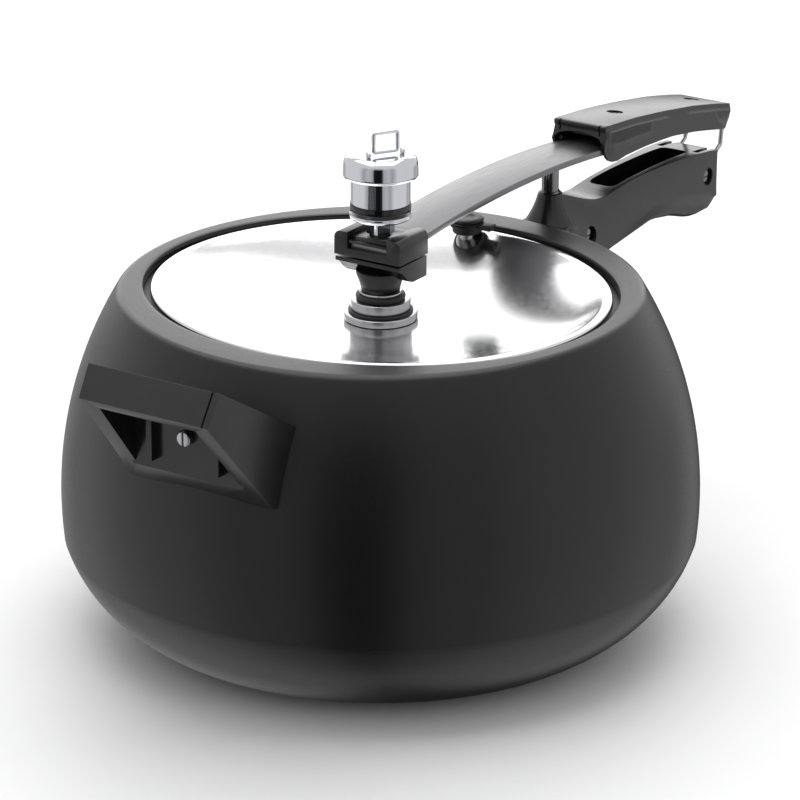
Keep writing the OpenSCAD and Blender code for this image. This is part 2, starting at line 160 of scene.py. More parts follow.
def loft(name, sections):
    # every section is a closed loop with the same number of points; neighbours are bridged
    obj = startPoint(name, sections[0][0])
    drawOn(sections[0], True)
    done()
    loops = [obj]
    for section in sections[1:]:
        loop = startPoint(name, section[0])
        drawOn(section, True)
        done()
        loops.append(loop)
    for loop in loops:
        edit(loop, selected=True)
        bpy.ops.mesh.remove_doubles(threshold=weldGap)
        done()
    pick(obj)
    for loop in loops[1:]:
        loop.select_set(True)
    bpy.ops.object.join()
    count = len(sections[0])
    for index in range(len(sections) - 1):
        edit(obj, "VERT")
        done()
        for vert in obj.data.vertices:
            vert.select = index * count <= vert.index < (index + 2) * count
        for edge in obj.data.edges:
            edge.select = all(index * count <= v < (index + 2) * count for v in edge.vertices)
        bpy.ops.object.mode_set(mode="EDIT")
        bpy.ops.mesh.select_mode(type="EDGE")
        bpy.ops.mesh.bridge_edge_loops()
        done()
    for start in (0, len(sections) - 1):
        edit(obj, "VERT")
        done()
        for vert in obj.data.vertices:
            vert.select = start * count <= vert.index < (start + 1) * count
        bpy.ops.object.mode_set(mode="EDIT")
        bpy.ops.mesh.edge_face_add()
        done()
    seal(obj)
    return obj


def box(name, low, high):
    deselectAll()
    size = [(b - a) * mm for a, b in zip(low, high)]
    bpy.ops.mesh.primitive_cube_add(size=1, location=[(a + b) / 2 * mm for a, b in zip(low, high)])
    obj = bpy.context.object
    obj.name = name
    obj.scale = size
    bpy.ops.object.transform_apply(location=True, rotation=True, scale=True)
    return obj


def rod(name, start, end, radius, sides=48):
    # cylinder between two points
    a, b = Vector(start) * mm, Vector(end) * mm
    deselectAll()
    turn = (b - a).to_track_quat("Z", "Y").to_euler()
    bpy.ops.mesh.primitive_cylinder_add(vertices=sides, radius=radius * mm, depth=(b - a).length,
                                        location=(a + b) / 2, rotation=turn)
    obj = bpy.context.object
    obj.name = name
    bpy.ops.object.transform_apply(location=True, rotation=True, scale=True)
    return obj


def combine(obj, other, how="DIFFERENCE"):
    mod = obj.modifiers.new("shape", "BOOLEAN")
    mod.operation = how
    mod.solver = "EXACT"
    mod.object = other
    pick(obj)
    bpy.ops.object.modifier_apply(modifier=mod.name)
    bpy.data.objects.remove(other)


def trim(obj, point, normal):
    # cuts away what lies on the side that normal points to
    edit(obj, "VERT", selected=True)
    bpy.ops.mesh.bisect(plane_co=[v * mm for v in point], plane_no=normal, use_fill=True, clear_outer=True)
    done()


def flat(obj, angle=0.02):
    # merges faces that lie in one plane
    edit(obj, "FACE", selected=True)
    bpy.ops.mesh.dissolve_limited(angle_limit=angle)
    done()


def bevel(obj, width, segments=3, angle=30):
    mod = obj.modifiers.new("edges", "BEVEL")
    mod.width = width * mm
    mod.segments = segments
    mod.limit_method = "ANGLE"
    mod.angle_limit = math.radians(angle)
    mod.miter_outer = "MITER_ARC"
    applyAll(obj)


def smooth(obj, angle=35):
    pick(obj)
    bpy.ops.object.shade_smooth_by_angle(angle=math.radians(angle))


def joined(name, parts):
    pick(parts[0])
    for part in parts[1:]:
        part.select_set(True)
    bpy.ops.object.join()
    parts[0].name = name
    parts[0].data.name = name
    return parts[0]


def wire(name, points, radius, closed, facets=5):
    # round wire along a path, as a curve turned into a mesh
    deselectAll()
    bpy.ops.curve.primitive_bezier_curve_add()
    obj = bpy.context.object
    obj.name = name
    curve = obj.data
    curve.splines.clear()
    spline = curve.splines.new("POLY")
    spline.points.add(len(points) - 1)
    for place, point in zip(spline.points, points):
        place.co = (*[v * mm for v in point], 1)
    spline.use_cyclic_u = closed
    curve.dimensions = "3D"
    curve.bevel_depth = radius * mm
    curve.bevel_resolution = facets
    curve.use_fill_caps = not closed
    pick(obj)
    bpy.ops.object.convert(target="MESH")
    obj = bpy.context.object
    seal(obj)
    return obj


def rounded(points, radius, closed, steps=6):
    # a path of 3-D points with its corners rounded off; slerp gives unit vectors, so each corner's arc has a
    # radius of 1 about a centre that lies radius from both sides, and the corner comes out drawn in
    out = []
    count = len(points)
    for i, here in enumerate(points):
        here = Vector(here)
        if not closed and i in (0, count - 1):
            out.append(tuple(here))
            continue
        before, after = Vector(points[i - 1]), Vector(points[(i + 1) % count])
        a, b = (before - here).normalized(), (after - here).normalized()
        half = a.angle(b) / 2
        reach = min(radius / math.tan(half), (before - here).length / 2.1, (after - here).length / 2.1)
        real = reach * math.tan(half)
        centre = here + (a + b).normalized() * (real / math.sin(half))
        first, last = here + a * reach - centre, here + b * reach - centre
        for k in range(steps + 1):
            out.append(tuple(centre + first.slerp(last, k / steps)))
    return out


def arc(cx, cz, r, a0, a1, n):
    # a round stretch in n steps, from angle a0 to a1 in degrees
    turn = [math.radians(a0 + (a1 - a0) * i / n) for i in range(n + 1)]
    return [(cx + r * math.cos(a), cz + r * math.sin(a)) for a in turn]


def along(table, x):
    # what a line of points stands at over x
    for (x0, z0), (x1, z1) in zip(table, table[1:]):
        if x <= x1:
            return z0 + (z1 - z0) * (x - x0) / (x1 - x0)
    return table[-1][1]


def ease(t):
    # soft start and stop between 0 and 1
    t = min(1, max(0, t))
    return t * t * (3 - 2 * t)


# ---- finishes
pattern = {
    "spread": (0.3, 0.7),          # the part of the noise that is used
    "fine": 22,                    # how much finer the gloss and relief are than the colour
    "depth": 0.0002,               # relief at full strength, in metres
}


def finish(name, base, tone, rough, grain, bump, metallic=0.0, stretch=(1, 1, 1), ior=1.5, rings=False):
    # tone: how far the colour drifts; rough: lowest and highest; grain: patches per metre;
    # stretch: brushing; rings: turning marks
    mat = bpy.data.materials.new(name)
    mat.use_nodes = True
    tree = mat.node_tree
    make, link = tree.nodes.new, tree.links.new
    shader = tree.nodes["Principled BSDF"]
    shader.inputs["Metallic"].default_value = metallic
    shader.inputs["IOR"].default_value = ior
    first, last = pattern["spread"]
    place = make("ShaderNodeTexCoord")
    scale = make("ShaderNodeMapping")
    scale.inputs["Scale"].default_value = stretch
    link(place.outputs["Object"], scale.inputs["Vector"])
    vector = scale.outputs["Vector"]
    if rings:  # the pattern follows the distance from the middle
        split, join = make("ShaderNodeSeparateXYZ"), make("ShaderNodeCombineXYZ")
        level, radius = make("ShaderNodeVectorMath"), make("ShaderNodeVectorMath")
        level.operation = "MULTIPLY"
        level.inputs[1].default_value = (1, 1, 0)
        radius.operation = "LENGTH"
        link(vector, level.inputs[0])
        link(level.outputs["Vector"], radius.inputs[0])
        link(vector, split.inputs[0])
        link(radius.outputs["Value"], join.inputs["X"])
        link(split.outputs["Z"], join.inputs["Z"])
        vector = join.outputs["Vector"]
    broad, fine = make("ShaderNodeTexNoise"), make("ShaderNodeTexNoise")
    broad.inputs["Scale"].default_value = grain
    broad.inputs["Detail"].default_value = 3
    fine.inputs["Scale"].default_value = grain * pattern["fine"]
    fine.inputs["Detail"].default_value = 2
    link(vector, broad.inputs["Vector"])
    link(vector, fine.inputs["Vector"])
    colour = make("ShaderNodeValToRGB")
    low, high = colour.color_ramp.elements
    low.position, high.position = first, last
    low.color = (*[v * (1 - tone) for v in base], 1)
    high.color = (*[min(1, v * (1 + tone)) for v in base], 1)
    link(broad.outputs["Fac"], colour.inputs["Fac"])
    link(colour.outputs["Color"], shader.inputs["Base Color"])
    gloss = make("ShaderNodeMapRange")
    gloss.inputs["From Min"].default_value = first
    gloss.inputs["From Max"].default_value = last
    gloss.inputs["To Min"].default_value = rough[0]
    gloss.inputs["To Max"].default_value = rough[1]
    link(fine.outputs["Fac"], gloss.inputs["Value"])
    link(gloss.outputs["Result"], shader.inputs["Roughness"])
    relief = make("ShaderNodeBump")
    relief.inputs["Strength"].default_value = bump
    relief.inputs["Distance"].default_value = pattern["depth"]
    link(fine.outputs["Fac"], relief.inputs["Height"])
    link(relief.outputs["Normal"], shader.inputs["Normal"])
    return mat


anodised = finish("hardAnodised", (0.004, 0.004, 0.0045), 0.12, (0.3, 0.36), 45, 0.03, ior=1.45)
phenolic = finish("mouldedPhenolic", (0.008, 0.008, 0.0085), 0.2, (0.2, 0.27), 70, 0.04)
rubber = finish("mouldedRubber", (0.006, 0.006, 0.006), 0.25, (0.4, 0.5), 110, 0.08)
band = finish("glossBand", (0.004, 0.004, 0.0045), 0.2, (0.06, 0.1), 60, 0.01)
mirrorSteel = finish("mirrorSteel", (0.76, 0.76, 0.77), 0.02, (0.13, 0.17), 25, 0.005, 1.0)
plainSteel = finish("zincSteel", (0.46, 0.46, 0.47), 0.08, (0.18, 0.26), 90, 0.03, 1.0)
leverSteel = finish("satinSteel", (0.2, 0.2, 0.205), 0.08, (0.3, 0.4), 60, 0.05, 1.0, stretch=(0.06, 1, 1))
discSteel = finish("spunSteel", (0.45, 0.45, 0.455), 0.12, (0.25, 0.38), 120, 0.08, 1.0, rings=True)
postSteel = finish("postSteel", (0.2, 0.2, 0.205), 0.08, (0.08, 0.14), 80, 0.02, 1.0)
chrome = finish("brightChrome", (0.63, 0.64, 0.67), 0.02, (0.03, 0.06), 40, 0.004, 1.0)
alloy = finish("turnedAlloy", (0.52, 0.52, 0.53), 0.08, (0.28, 0.38), 90, 0.05, 1.0)


def dress(obj, mat, body, node):
    # finish, body and the CAD node whose place the piece takes
    obj.data.materials.clear()
    obj.data.materials.append(mat)
    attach(obj, body)
    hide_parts(node)


def keep(node, mat):
    # a CAD node shown as it is, in a better finish
    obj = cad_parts[node]
    if not obj.data.materials:
        obj.data.materials.append(mat)
    for slotIndex in range(len(obj.data.materials)):
        obj.data.materials[slotIndex] = mat


# ---- pot
pot = {
    "belly": (125, 54, 158),       # largest radius, its height, and the side curve
    "crease": 38,
    "baseEdge": 85,
    "baseCurve": 57.4,
    "disc": (76, 1.2),             # recess for the steel disc
    "rim": 137,
    "wall": 4,
    "mouth": (86.5, 94.3),         # half the oval opening, along and across
    "mouthRound": 90,              # the opening as it is spun
    "lip": 0.8,
    "steps": 192,
}


def barrelRadius(z, out=0):
    # radius of the side at a height, or of a skin that lies further out
    bellyR, bellyZ, curve = pot["belly"]
    return bellyR - curve + math.sqrt((curve + out) ** 2 - (z - bellyZ) ** 2)


def baseCentre():
    # middle of the curve between the flat base and the crease
    r0, r1, z1 = pot["baseEdge"], barrelRadius(pot["crease"]), pot["crease"]
    half = math.hypot(r1 - r0, z1) / 2
    lift = math.sqrt(pot["baseCurve"] ** 2 - half ** 2) / (2 * half)
    return (r0 + r1) / 2 - lift * z1, z1 / 2 + lift * (r1 - r0)


def buildPot():
    bellyR, bellyZ, curve = pot["belly"]
    cx = bellyR - curve
    wall, rim, crease = pot["wall"], pot["rim"], pot["crease"]
    bx, bz = baseCentre()
    shelf = rim - wall
    shelfR = barrelRadius(shelf, -wall)
    lean = math.degrees(math.atan2(shelf - bellyZ, shelfR - cx))
    edgeR = barrelRadius(crease)
    under = math.degrees(math.atan2(-bz, pot["baseEdge"] - bx))
    over = math.degrees(math.atan2(crease - bz, edgeR - bx))
    up = math.degrees(math.asin((crease - bellyZ) / curve))
    baseIn = pot["baseCurve"] - wall
    low = -math.degrees(math.acos((bz - wall) / baseIn))
    mouthR, lip = pot["mouthRound"], pot["lip"]
    discR, discZ = pot["disc"]
    inner = math.degrees(math.asin((crease + 1 - bellyZ) / (curve - wall)))
    # the arcs stop a little short of each edge and leave it a fine chamfer
    profile = [(0, discZ), (discR, discZ), (discR, 0.3), (discR + 0.3, 0), (pot["baseEdge"] - 0.8, 0)]
    profile += arc(bx, bz, pot["baseCurve"], under + 0.8, over, 22)
    profile += arc(cx, bellyZ, curve, up + 0.25, lean, 34)
    profile += arc(shelfR, shelf, wall, lean, 90, 8)[1:]
    profile += [(mouthR + 2, rim), (mouthR + lip, rim), (mouthR + 0.23, rim - 0.23), (mouthR, rim - lip)]
    profile += [(mouthR, shelf + 0.4), (mouthR + 0.4, shelf), (mouthR + 2, shelf), (shelfR, shelf)]
    profile += arc(cx, bellyZ, curve - wall, lean - 0.6, inner, 20)
    profile += arc(bx, bz, baseIn, math.degrees(math.asin((crease - bz) / baseIn)), low, 14)
    profile += [(0, wall)]
    obj = turned("potShell", profile, pot["steps"])
    # the round opening is drawn out into the oval mouth
    edit(obj)
    chooseVerts(obj, lambda p: p.z > shelf - 8 and math.hypot(p.x, p.y) < mouthR + 2.5)
    bpy.ops.transform.resize(value=(pot["mouth"][0] / mouthR, pot["mouth"][1] / mouthR, 1),
                             center_override=(0, 0, pot["rim"] * mm))
    done()
    smooth(obj, 30)
    dress(obj, anodised, "pot", "pot_shell")


def potSide(low=80, gap=0.1):
    # the pot's side as a solid, which a handle is cut with to fit it
    top = pot["rim"] - pot["wall"]
    side = [(barrelRadius(z, gap), z) for z in range(low, top, 4)]
    cover = [(barrelRadius(top, gap), top + 0.05), (0, top + 0.05)]
    return turned("potSide", [(0, low)] + side + cover, pot["steps"])


buildPot()
print("pot done")


# ---- lid: rolled edge, narrow land, and a hollow middle
lid = {
    "neck": (83.8, 91.6),          # half the oval, along and across
    "mean": 87.7,                  # the same as it is spun
    "roundTo": 40,                 # still round up to this radius
    "ovalFrom": 9,                 # and the full oval from this far inside the neck
    "flange": (125.7, 127.7, 7.2),
    "edge": 136.2,
    "land": 5,
    "floor": 124,
    "bowl": 2.3,                   # how sharply the hollow turns up towards the edge
    "sheet": 2,
    "steps": 192,
}


def buildLid():
    r, edge, sheet = lid["mean"], lid["edge"], lid["sheet"]
    z0, z1, out = lid["flange"]
    floor, land = lid["floor"], r - lid["land"]

    def hollow(x):
        return floor + (edge - 0.9 - floor) * (x / land) ** lid["bowl"]

    profile = [(tubeBore, floor), (10, hollow(10))]
    profile += [(x, hollow(x)) for x in range(16, 80, 5)]
    profile += [(land, hollow(land)), (r - 4.2, edge - 0.45), (r - 3.2, edge - 0.16), (r - 2.2, edge - 0.02)]
    profile += arc(r - 1.3, edge - 1.3, 1.3, 90, 0, 7)
    profile += [(r, z1 + 0.8), (r + 0.3, z1 + 0.15), (r + 0.9, z1), (r + out - 0.6, z1), (r + out, z1 - 0.6)]
    profile += [(r + out, z0 + 0.6), (r + out - 0.6, z0), (r - sheet, z0), (r - sheet, edge - 5)]
    profile += [(x, hollow(x) - sheet) for x in (r - 8, 60, 30)]
    profile += [(tubeBore, floor - sheet), (tubeBore, floor)]
    obj = turned("lidPlate", profile, lid["steps"])
    # round outline drawn out to the oval, less and less towards the middle; homes: each vertex's first radius
    kx, ky = lid["neck"][0] / r, lid["neck"][1] / r
    homes = [round(math.hypot(v.co.x, v.co.y) / mm, 2) for v in obj.data.vertices]
    for ring in sorted(set(homes)):
        share = ease((ring - lid["roundTo"]) / (r - lid["ovalFrom"] - lid["roundTo"]))
        if share > 0:
            edit(obj)
            chooseRing(obj, homes, ring)
            bpy.ops.transform.resize(value=(1 + (kx - 1) * share, 1 + (ky - 1) * share, 1),
                                     center_override=(0, 0, 0))
            done()
    smooth(obj, 30)
    dress(obj, mirrorSteel, "lid", "lid_plate")


buildLid()
print("lid done")


# ---- hub: rings stacked on the lid, each with its own edge
hub = {
    # piece, node, foot, top, radius, edge rounding, slot
    "rings": [
        ("hubBoss", "hub_boss", 124.35, 127.2, 14.4, 0.5, "steel"),
        ("hubSeal", "hub_seal", 127.2, 128.2, 12.6, 0.35, "rubber"),
        ("hubSpacer", "hub_spacer", 128.2, 132.3, 11.7, 0.5, "steel"),
        ("hubGasket", "hub_gasket", 132.3, 134.5, 9.6, 0.7, "rubber"),
        ("hubWasher", "hub_washer", 134.5, 135.6, 8.4, 0.35, "steel"),
    ],
}


def buildHub():
    for name, node, foot, top, radius, edge, slotName in hub["rings"]:
        shape = [(tubeBore, foot), (radius - edge, foot), (radius - edge * 0.3, foot + edge * 0.3)]
        shape += [(radius, foot + edge)] + arc(radius - edge, top - edge, edge, 0, 90, 5)
        shape += [(tubeBore, top), (tubeBore, foot)]
        ring = turned(name, shape)
        smooth(ring, 40)
        dress(ring, plainSteel if slotName == "steel" else rubber, "lid", node)


buildHub()
print("hub done")


# ---- yoke: saddle on the hub, clamp that holds the lever's tongue, and the plate in it
yoke = {
    "front": -9.7,
    "back": 10.3,
    "half": 15,
    "clampLow": 150.2,
    "clampTop": 159.8,
    "channel": (9, 153.2),
    "horn": 2.6,
    "ridge": 149.8,                # height of the ridge that the lever rocks on
    "saddle": [(-9.4, 149.3), (-9.4, 147.7), (-7, 146.6), (-4, 143.6), (-1.5, 141.8), (0.5, 141.2),
               (10, 141.2), (10, 149.3)],
    "neck": [(3.3, 135.6), (7.2, 135.6), (7.5, 135.9), (8.4, 139.5), (9.6, 142.6), (9.6, 144), (3.3, 144),
             (3.3, 135.6)],
    "plate": (8.8, 155.4, 158),    # half width, foot and top
    "bore": 3.3,                   # round the tube in the saddle, and wider above where the lever rocks
    "looseBore": 4.2,
}


def buildYoke():
    ridge = yoke["ridge"]
    saddle = plank("yokeBase", yoke["saddle"], yoke["half"] - 0.4)
    combine(saddle, turned("yokeNeck", yoke["neck"], 64), "UNION")
    combine(saddle, rod("ridge", (0, -13, ridge), (0, 13, ridge), 0.9), "UNION")
    combine(saddle, rod("bore", (0, 0, 130), (0, 0, 155), yoke["bore"]))
    flat(saddle)
    bevel(saddle, 0.5, 3, 32)
    smooth(saddle)
    dress(saddle, phenolic, "lid", "yoke_base")

    w, horn, high, low = yoke["half"], yoke["horn"], yoke["clampTop"], yoke["clampLow"]
    cy, cz = yoke["channel"]
    outline = [(-w, low), (w, low)] + arc(w - horn, high - horn, horn, 0, 90, 6)
    outline += [(cy, high), (cy, cz), (-cy, cz), (-cy, high)] + arc(-w + horn, high - horn, horn, 90, 180, 6)
    front, back = yoke["front"], yoke["back"]
    clamp = plate("yokeClamp", [(front, y, z) for y, z in outline], (back - front, 0, 0))
    combine(clamp, rod("groove", (0, -13.5, ridge), (0, 13.5, ridge), 0.95))
    combine(clamp, rod("bore", (0, 0, 145), (0, 0, 165), yoke["looseBore"]))
    bevel(clamp, 0.5, 3, 40)
    smooth(clamp)
    dress(clamp, phenolic, "lever", "yoke_clamp")

    wide, foot, top = yoke["plate"]
    insert = box("yokePlate", (-7.4, -wide, foot), (9.8, wide, top))
    combine(insert, box("step", (-9.2, -wide, foot), (-7, wide, top - 1.3)), "UNION")
    combine(insert, rod("bore", (0, 0, 150), (0, 0, 165), yoke["looseBore"]))
    bevel(insert, 0.35, 2, 40)
    smooth(insert)
    dress(insert, phenolic, "lever", "yoke_plate")


buildYoke()
print("yoke done")


# ---- lever bar: crowned and arched, with its tail inside the lid handle
lever = {
    "arch": 650,
    "top": (80, 160.6),
    "crown": 1.5,
    "half": 11.3,
    "thick": 2.6,
    "tail": 9,                     # half width inside the handle
    "tongue": 8.6,                 # half width between the yoke's blocks
    "open": (12, 14, 18, 26, 36, 46, 56, 66, 76, 86, 96, 106, 116, 126, 136, 144, 150),
    "hidden": (156, 171, 195, 221, 240, 247.5),
}
handleScrews = (176, 240)
gripTop = [(149.6, 165.2), (171, 163.4), (195, 160.3), (221, 156.2), (240, 152.4), (252.4, 149.4)]


def buildLever():
    def section(x, top, half, crown, thick):
        # crowned across: the radius follows from the width and the rise
        curve = (half * half + crown * crown) / (2 * crown)
        ys = [half * math.sin(math.radians(a)) for a in range(-90, 91, 18)]
        upper = [(x, y, top - (curve - math.sqrt(curve * curve - y * y))) for y in ys]
        edge = upper[-1][2]
        lower = [(x, y * 0.985, z - thick) for _, y, z in reversed(upper)]
        return upper + [(x, half, edge - thick * 0.5)] + lower + [(x, -half, edge - thick * 0.5)]

    topX, topZ = lever["top"]
    seat = yoke["plate"][1]
    stations = [section(x, seat, lever["tongue"], 0.05, 2.2) for x in (-8, 9.6)]
    stations.append(section(10.6, seat + 0.5, lever["tongue"] + 0.2, 0.2, 2.4))
    for x in lever["open"]:
        z = topZ - (lever["arch"] - math.sqrt(lever["arch"] ** 2 - (x - topX) ** 2))
        stations.append(section(x, z, lever["half"], lever["crown"], lever["thick"]))
    for x in lever["hidden"]:
        stations.append(section(x, along(gripTop, x) - 7, lever["tail"], 0.05, 2.3))
    bar = loft("leverBar", stations)
    combine(bar, rod("bore", (0, 0, 145), (0, 0, 165), yoke["looseBore"]))
    for x in handleScrews:
        combine(bar, rod("bore", (x, 0, 140), (x, 0, 170), 1.8))
    bevel(bar, 0.35, 2, 50)
    smooth(bar, 40)
    dress(bar, leverSteel, "lever", "lever_bar")


buildLever()
print("lever done")


# ---- lid handle
lidHandle = {
    "half": 12.8,
    "under": [(146.4, 157), (147.2, 154.6), (148.6, 152.2), (150.6, 150.2), (153.5, 148.9), (158, 148.2),
              (165, 148.8), (181, 148.6), (202, 147.4), (222, 144.4), (234, 142), (247, 139.2), (248.6, 139),
              (252.4, 143.94)],
    "nose": [(146.4, 158.2), (147.6, 160.8), (148.2, 163), (149.6, 165.1)],
    "stations": (146.6, 147.2, 148.0, 148.8, 149.6, 151, 153.5, 158, 165, 173, 181, 189, 196, 204, 212,
                 221, 229, 236, 243, 248.6, 250.6, 252.4),
    "drop": 7,                     # from the top to the lever's tail
    "ledge": 3.3,                  # from the top to the fine ledge along each side
    "channel": (152, 249, 10.2),   # front, back and half width
    "mouth": [(11.2, 158.2), (9.5, 159.9), (5, 161), (0, 161.4)],
    "lip": ((147.4, -12.4, 162.6), (152, 12.4, 165.2)),
    "wellFloor": (160.4, 149.2),
}


def buildLidHandle():
    half = lidHandle["half"]

    def section(x, top, low, crease):
        inner = half - 0.7
        return [(x, -inner, top), (x, inner, top), (x, half, crease), (x, half - 0.5, low),
                (x, -half + 0.5, low), (x, -half, crease)]

    stations = []
    for x in lidHandle["stations"]:
        top = along(lidHandle["nose"] if x < gripTop[0][0] else gripTop, x)
        low = along(lidHandle["under"], x)
        stations.append(section(x, top, low, max(low + 0.6, top - lidHandle["ledge"])))
    grip = loft("lidHandle", stations)
    # a round notch across the rear end, for the locking loop's bar
    combine(grip, rod("notch", (254.6, -20, 145), (254.6, 20, 145), 2.5))
    bevel(grip, 0.7, 3, 28)
    # a fine ledge runs along each side under the top edge
    line = [(140, gripTop[0][1])] + list(gripTop) + [(260, gripTop[-1][1])]
    outline = [(x, z - lidHandle["ledge"]) for x, z in line] + [(260, 185), (140, 185)]
    ledge = plank("ledge", outline, half + 3)
    combine(ledge, plank("inner", [(130, 120), (270, 120), (270, 190), (130, 190)], half - 0.4))
    combine(grip, ledge)
    front, back, wide = lidHandle["channel"]
    ceiling = [(max(front, min(x, back)), z - lidHandle["drop"] + 0.05) for x, z in gripTop]
    combine(grip, plank("channel", ceiling + [(back, 120), (front, 120)], wide))
    arch = lidHandle["mouth"]
    around = [(-arch[0][0], 120), (arch[0][0], 120)] + arch + [(-y, z) for y, z in reversed(arch[:-1])]
    combine(grip, plate("mouth", [(140, y, z) for y, z in around], (14, 0, 0)))
    lip = box("lip", *lidHandle["lip"])
    bevel(lip, 0.7, 3, 40)
    combine(grip, lip, "UNION")
    for side in (-1, 1):  # two small grooves in the front lip
        combine(grip, box("groove", (144, side * 9.4 - 0.35, 161), (149, side * 9.4 + 0.35, 168)))
    for x, seat in zip(handleScrews, lidHandle["wellFloor"]):
        combine(grip, rod("well", (x, 0, seat), (x, 0, 170), 3.5))
    smooth(grip)
    dress(grip, phenolic, "lever", "lid_handle")


buildLidHandle()
print("lid handle done")


# ---- body handle with its trough, collar and finger rest
post = {
    "x": 125,
    "radius": 3.5,
    "foot": 113.5,
    "top": 157.3,
}
crossScrews = {
    "z": 121.2,
    # the loop pin's head stays clear of the wire's leg, the front screw's head sits deeper
    "screws": [(138.6, 9.2, "front_screw", "frontScrew"), (234.5, 10.1, "loop_pin", "loopPin")],
}
bodyHandle = {
    "half": 12.6,
    "top": [(112, 141.4), (125, 141.4), (130, 139.8), (136, 137.4), (142, 135.2), (148, 133.7), (154, 133.1),
            (161, 133.6), (170, 134.4), (180, 134.8), (196, 134.7), (210, 134.3), (222, 133.6), (236, 132.3),
            (242.6, 131.2)],
    # half width of the flat top
    "ridge": [(112, 4.9), (125, 4.9), (130, 5.6), (136, 6.6), (142, 7.6), (150, 8.5), (160, 8.8), (177, 8.7),
              (190, 9.1), (205, 10.0), (222, 11.4), (236, 12.3), (242.6, 12.6)],
    # side of the collar at the post, and the side further back as shares of the way out and down
    "collar": [(6.2, 137), (8.2, 132.6), (10.6, 128.8), (12.3, 124)],
    "bulge": [(0.45, 0.12), (0.72, 0.3), (0.9, 0.55), (1, 0.8)],
    "curl": (150, 25),             # the collar's side fades in forward of here, over this length
    "crease": [(112, 105), (119, 105.5), (151, 112.5), (168.8, 115.4), (185, 119.7), (197.6, 120.2),
               (210.3, 119), (223.3, 115.7), (238.6, 111.8), (242.6, 111.4)],
    "low": [(112, 103), (119, 103), (151, 111.2), (170, 113.4), (185, 115.4), (202, 112.6), (213, 109),
            (222, 107), (231, 107.4), (238, 109.6), (242.6, 111)],
    "stations": (112, 116, 121, 125, 128, 131, 134, 137, 140, 143, 147, 151, 155, 160, 165, 171, 177,
                 183, 189, 195, 201, 207, 213, 219, 225, 231, 236, 240, 242.2),
    "trough": ((160, -6.5, 119.8), (228, 6.5, 138)),
    "legSlot": (8.7, 1.4),         # place and half width of the slots for the wire's legs
    "toe": ((98, -14.4, 124), (116.5, 14.4, 130.6)),
    "flare": [(0, 127), (11.6, 127), (10.6, 128.8), (9.3, 130.6), (8.2, 132.6), (7.1, 134.8), (6.2, 137),
              (5.4, 139.4), (4.9, 141.4), (4.5, 141.7), (0, 141.7)],
    "headWell": 3.9,
}


def buildBodyHandle():
    half = bodyHandle["half"]

    def section(x):
        top, crease, low = (along(bodyHandle[key], x) for key in ("top", "crease", "low"))
        ridge = along(bodyHandle["ridge"], x)
        curl = ease((bodyHandle["curl"][0] - x) / bodyHandle["curl"][1])
        mids = []
        for (cy, cz), (wide, down) in zip(bodyHandle["collar"], bodyHandle["bulge"]):
            y = ridge + (half - 0.15 - ridge) * wide
            z = top - (top - crease) * down
            mids.append((y + (cy - y) * curl, z + (cz - z) * curl))
        depth = crease - low
        out = 2.2 * min(1, max(0, depth - 1.5) / 4)
        points = [(ridge, top)] + mids + [(half, crease)]
        points += [(half + out * a, crease - depth * b) for a, b in ((0.35, 0.18), (1, 0.5), (0.9, 0.8))]
        points.append((half - 1.4 + out * 0.5, low))
        return [(x, y, z) for y, z in points] + [(x, -y, z) for y, z in reversed(points)]

    grip = loft("bodyHandle", [section(x) for x in bodyHandle["stations"]])
    bevel(grip, 0.5, 3, 32)
    # the trough is a deep slot with a ramp at its front
    deep = box("deep", *bodyHandle["trough"])
    edit(deep, "FACE")
    chooseFaces(deep, lambda c, n: n.z < -0.9)
    bpy.ops.transform.resize(value=(0.68, 0.92, 1), center_override=(227.4 * mm, 0, 120 * mm))
    done()
    bevel(deep, 3, 5, 40)
    combine(grip, deep)
    leg, wide = bodyHandle["legSlot"]
    for side in (-1, 1):
        combine(grip, box("slot", (229, side * leg - wide, 100), (260, side * leg + wide, 140)))
    # in front of the post the handle is a flared collar, and a toe lies on the pot's shoulder
    collar = turned("collar", bodyHandle["flare"], 64, (post["x"], 0))
    combine(grip, box("noseCut", (100, -30, 129), (post["x"], 30, 150)))
    combine(grip, collar, "UNION")
    toe = box("toe", *bodyHandle["toe"])
    bevel(toe, 0.9, 3, 40)
    combine(grip, toe, "UNION")
    combine(grip, potSide())
    combine(grip, rod("bore", (post["x"], 0, 100), (post["x"], 0, 150), post["radius"] + 0.05))
    z = crossScrews["z"]
    for screw in crossScrews["screws"]:
        x = screw[0]
        combine(grip, rod("bore", (x, -30, z), (x, 30, z), 2))
        for side in (-1, 1):
            combine(grip, rod("well", (x, side * (half - 3.4), z), (x, side * 30, z), bodyHandle["headWell"]))
    smooth(grip)
    dress(grip, phenolic, "pot", "body_handle")


buildBodyHandle()
print("body handle done")


# ---- post
def buildPost():
    # plain pin with a thin collar where it leaves the handle
    r, foot, top = post["radius"], post["foot"], post["top"]
    shape = [(0, foot), (r, foot), (r, 141.2), (r + 0.5, 141.2), (r + 0.7, 141.5), (r + 0.7, 142.1)]
    shape += [(r + 0.4, 142.4), (r, 142.4), (r, top - 0.8), (r - 0.8, top), (0, top)]
    pin = turned("fulcrumPost", shape, 64, (post["x"], 0))
    smooth(pin, 30)
    dress(pin, postSteel, "pot", "fulcrum_post")


buildPost()


